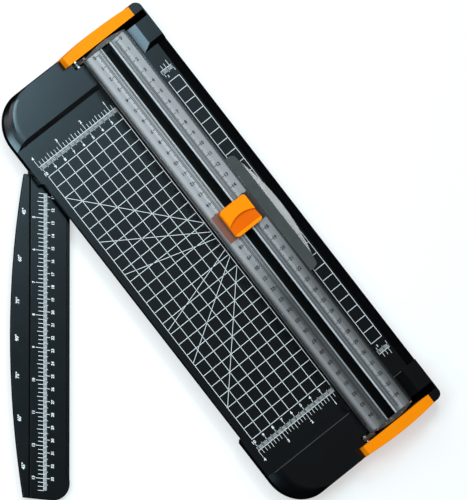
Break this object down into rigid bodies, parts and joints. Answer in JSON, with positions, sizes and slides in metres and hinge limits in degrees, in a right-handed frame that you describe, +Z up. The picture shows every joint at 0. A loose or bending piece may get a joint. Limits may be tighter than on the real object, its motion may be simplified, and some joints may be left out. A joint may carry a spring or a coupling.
{
  "type": "paper cutter",
  "caption": "Desk paper cutter: a pressed blade carriage slides in a lifting clear rail over a gridded base, with a swing-out side ruler.",
  "frame": {"origin": "on the table under the middle of the cutting line, which is the centre of the middle foot's lower face", "axes": "+Y along the cutting line to the end at the top of the picture, +X to the right across the base, +Z up"},
  "size_m": [0.3298, 0.3816, 0.0318],
  "materials": {
    "black_plastic": "fine-grained moulded black plastic",
    "strip_plastic": "smooth black",
    "orange_plastic": "satin orange",
    "clear_plastic": "clear, slightly smoky",
    "dark_plastic": "moulded",
    "rubber": "matte",
    "steel": "plated",
    "blade_steel": "ground",
    "brass": "turned"
  },
  "bodies": {
    "base": {"base_shell": "black_plastic", "cutting_strip": "strip_plastic", "end_cap_top": "orange_plastic", "end_cap_bottom": "orange_plastic", "cap_screws": "steel", "hinge_pin_top": "steel", "hinge_pin_bottom": "steel", "rubber_feet": "rubber", "ruler_bush": "brass", "ruler_friction_washer": "dark_plastic", "ruler_washer": "steel", "ruler_screw": "steel"},
    "rail": {"clear_rail_left": "clear_plastic", "clear_rail_right": "clear_plastic", "rail_end_top": "clear_plastic", "rail_end_bottom": "clear_plastic", "lift_tab": "clear_plastic", "pressing_strip_left": "rubber", "pressing_strip_right": "rubber"},
    "cutter": {"carriage": "orange_plastic", "blade_guard": "dark_plastic", "cap_springs": "steel"},
    "button": {"slider_cap": "orange_plastic", "blade_holder": "dark_plastic", "cutter_blade": "blade_steel", "blade_screw": "steel"},
    "ruler": {"side_ruler": "black_plastic"}
  },
  "joints": [
    {"name": "ruler_swing", "type": "hinge", "parent": "base", "child": "ruler", "pos_m": [-0.0888, 0.1245, 0.0087], "axis": [0, 0, -1], "range_deg": [-41.1, 48.9]},
    {"name": "rail_lift", "type": "hinge", "parent": "base", "child": "rail", "pos_m": [-0.024, 0, 0.016], "axis": [0, -1, 0], "range_deg": [0, 65]},
    {"name": "cutter_slide", "type": "slide", "parent": "rail", "child": "cutter", "axis": [0, 1, 0], "range_m": [-0.1755, 0.1502]},
    {"name": "button_press", "type": "slide", "parent": "cutter", "child": "button", "axis": [0, 0, -1], "range_m": [0, 0.0018], "stiffness_N_per_m": 400, "springref_m": -0.0025, "deforming": ["cap_springs"]}
  ]
}
